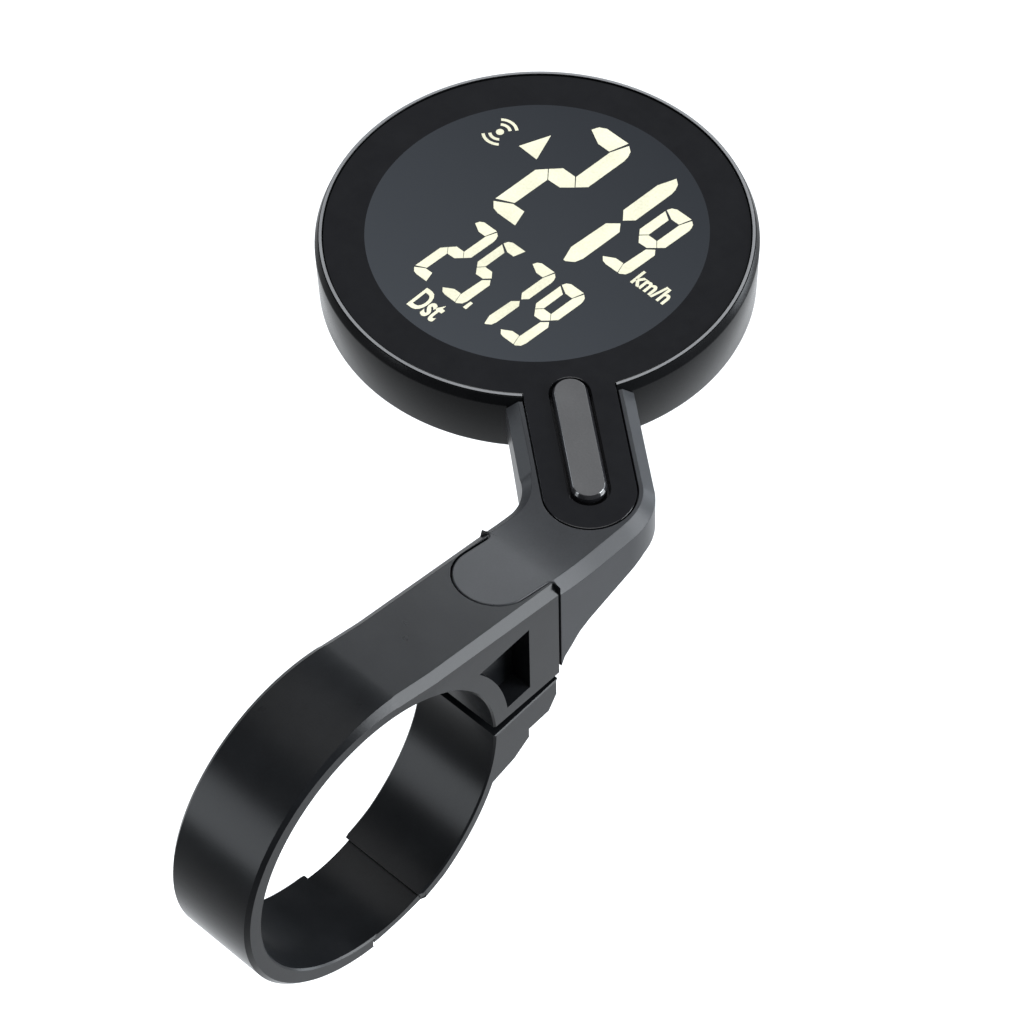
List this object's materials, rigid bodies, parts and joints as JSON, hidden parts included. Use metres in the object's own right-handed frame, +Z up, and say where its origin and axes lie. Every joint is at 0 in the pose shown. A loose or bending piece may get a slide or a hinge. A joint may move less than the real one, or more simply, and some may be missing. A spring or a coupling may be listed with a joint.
{
  "type": "cycling computer",
  "caption": "Round handlebar cycling computer with a keyhole lens, a digit display, a press key on its tongue, a cranked arm and a living-hinge bar clamp.",
  "frame": {"origin": "middle of the clamp bore, which is the handlebar's centre line", "axes": "+X along the handlebar, +Y forward away from the rider, +Z up and out of the display face"},
  "size_m": [0.0573, 0.0981, 0.0357],
  "materials": {
    "case_plastic": "fine satin charcoal moulding",
    "arm_plastic": "satin charcoal moulding with a soft sheen",
    "lens_gloss": "polished black acrylic with a smoked display window",
    "button_grey": "matte mid-grey key cap",
    "seal_rubber": "black rubber",
    "panel_glass": "liquid crystal panel",
    "film": "pale reflector film",
    "inner_black": "black moulded plastic",
    "board": "green solder mask",
    "steel": "bright steel",
    "insert_brass": "turned brass"
  },
  "bodies": {
    "frame": {"clamp_body": "arm_plastic", "hinge_web": "arm_plastic", "thread_insert": "insert_brass", "arm": "arm_plastic", "case_body": "case_plastic", "lens": "lens_gloss", "lens_tape": "seal_rubber", "lcd_glass": "panel_glass", "lcd_reflector": "film", "lcd_frame": "inner_black", "zebra_front": "seal_rubber", "zebra_rear": "seal_rubber", "circuit_board": "board", "controller_chip": "inner_black", "timing_crystal": "steel", "mode_switch": "inner_black", "case_back": "case_plastic", "case_gasket": "seal_rubber", "case_screw_1": "steel", "case_screw_2": "steel", "case_screw_3": "steel", "case_screw_4": "steel", "arm_screw_1": "steel", "arm_screw_2": "steel", "set_switch": "inner_black", "battery_contact_negative": "steel", "battery_contact_positive": "steel", "coin_cell": "steel"},
    "jaw": {"lower_jaw": "arm_plastic"},
    "bolt": {"clamp_bolt": "steel"},
    "mode_key": {"mode_button": "button_grey", "mode_switch_plunger": "steel"},
    "set_key": {"set_button": "button_grey"},
    "cover": {"battery_cover": "case_plastic", "cover_oring": "seal_rubber"}
  },
  "joints": [
    {"name": "jaw_open", "type": "hinge", "parent": "frame", "child": "jaw", "pos_m": [0, 0.00174, -0.01681], "axis": [-1, 0, 0], "range_deg": [0, 7], "stiffness_Nm_per_rad": 0.15, "deforming": ["hinge_web"]},
    {"name": "bolt_back_off", "type": "slide", "parent": "frame", "child": "bolt", "axis": [0, 0, -1], "range_m": [0, 0.0038]},
    {"name": "mode_press", "type": "slide", "parent": "frame", "child": "mode_key", "axis": [0, 0, -1], "range_m": [0, 0.00045], "stiffness_N_per_m": 1500},
    {"name": "set_press", "type": "slide", "parent": "frame", "child": "set_key", "axis": [0, 0, 1], "range_m": [0, 0.0004], "stiffness_N_per_m": 1500},
    {"name": "cover_turn", "type": "hinge", "parent": "frame", "child": "cover", "pos_m": [-0.0295, 0.0576, 0.0008], "axis": [0, 0, -1], "range_deg": [0, 30]}
  ],
  "couplings": [
    {"joint": "bolt_back_off", "follows": "jaw_open", "m_per_rad": 0.03}
  ]
}
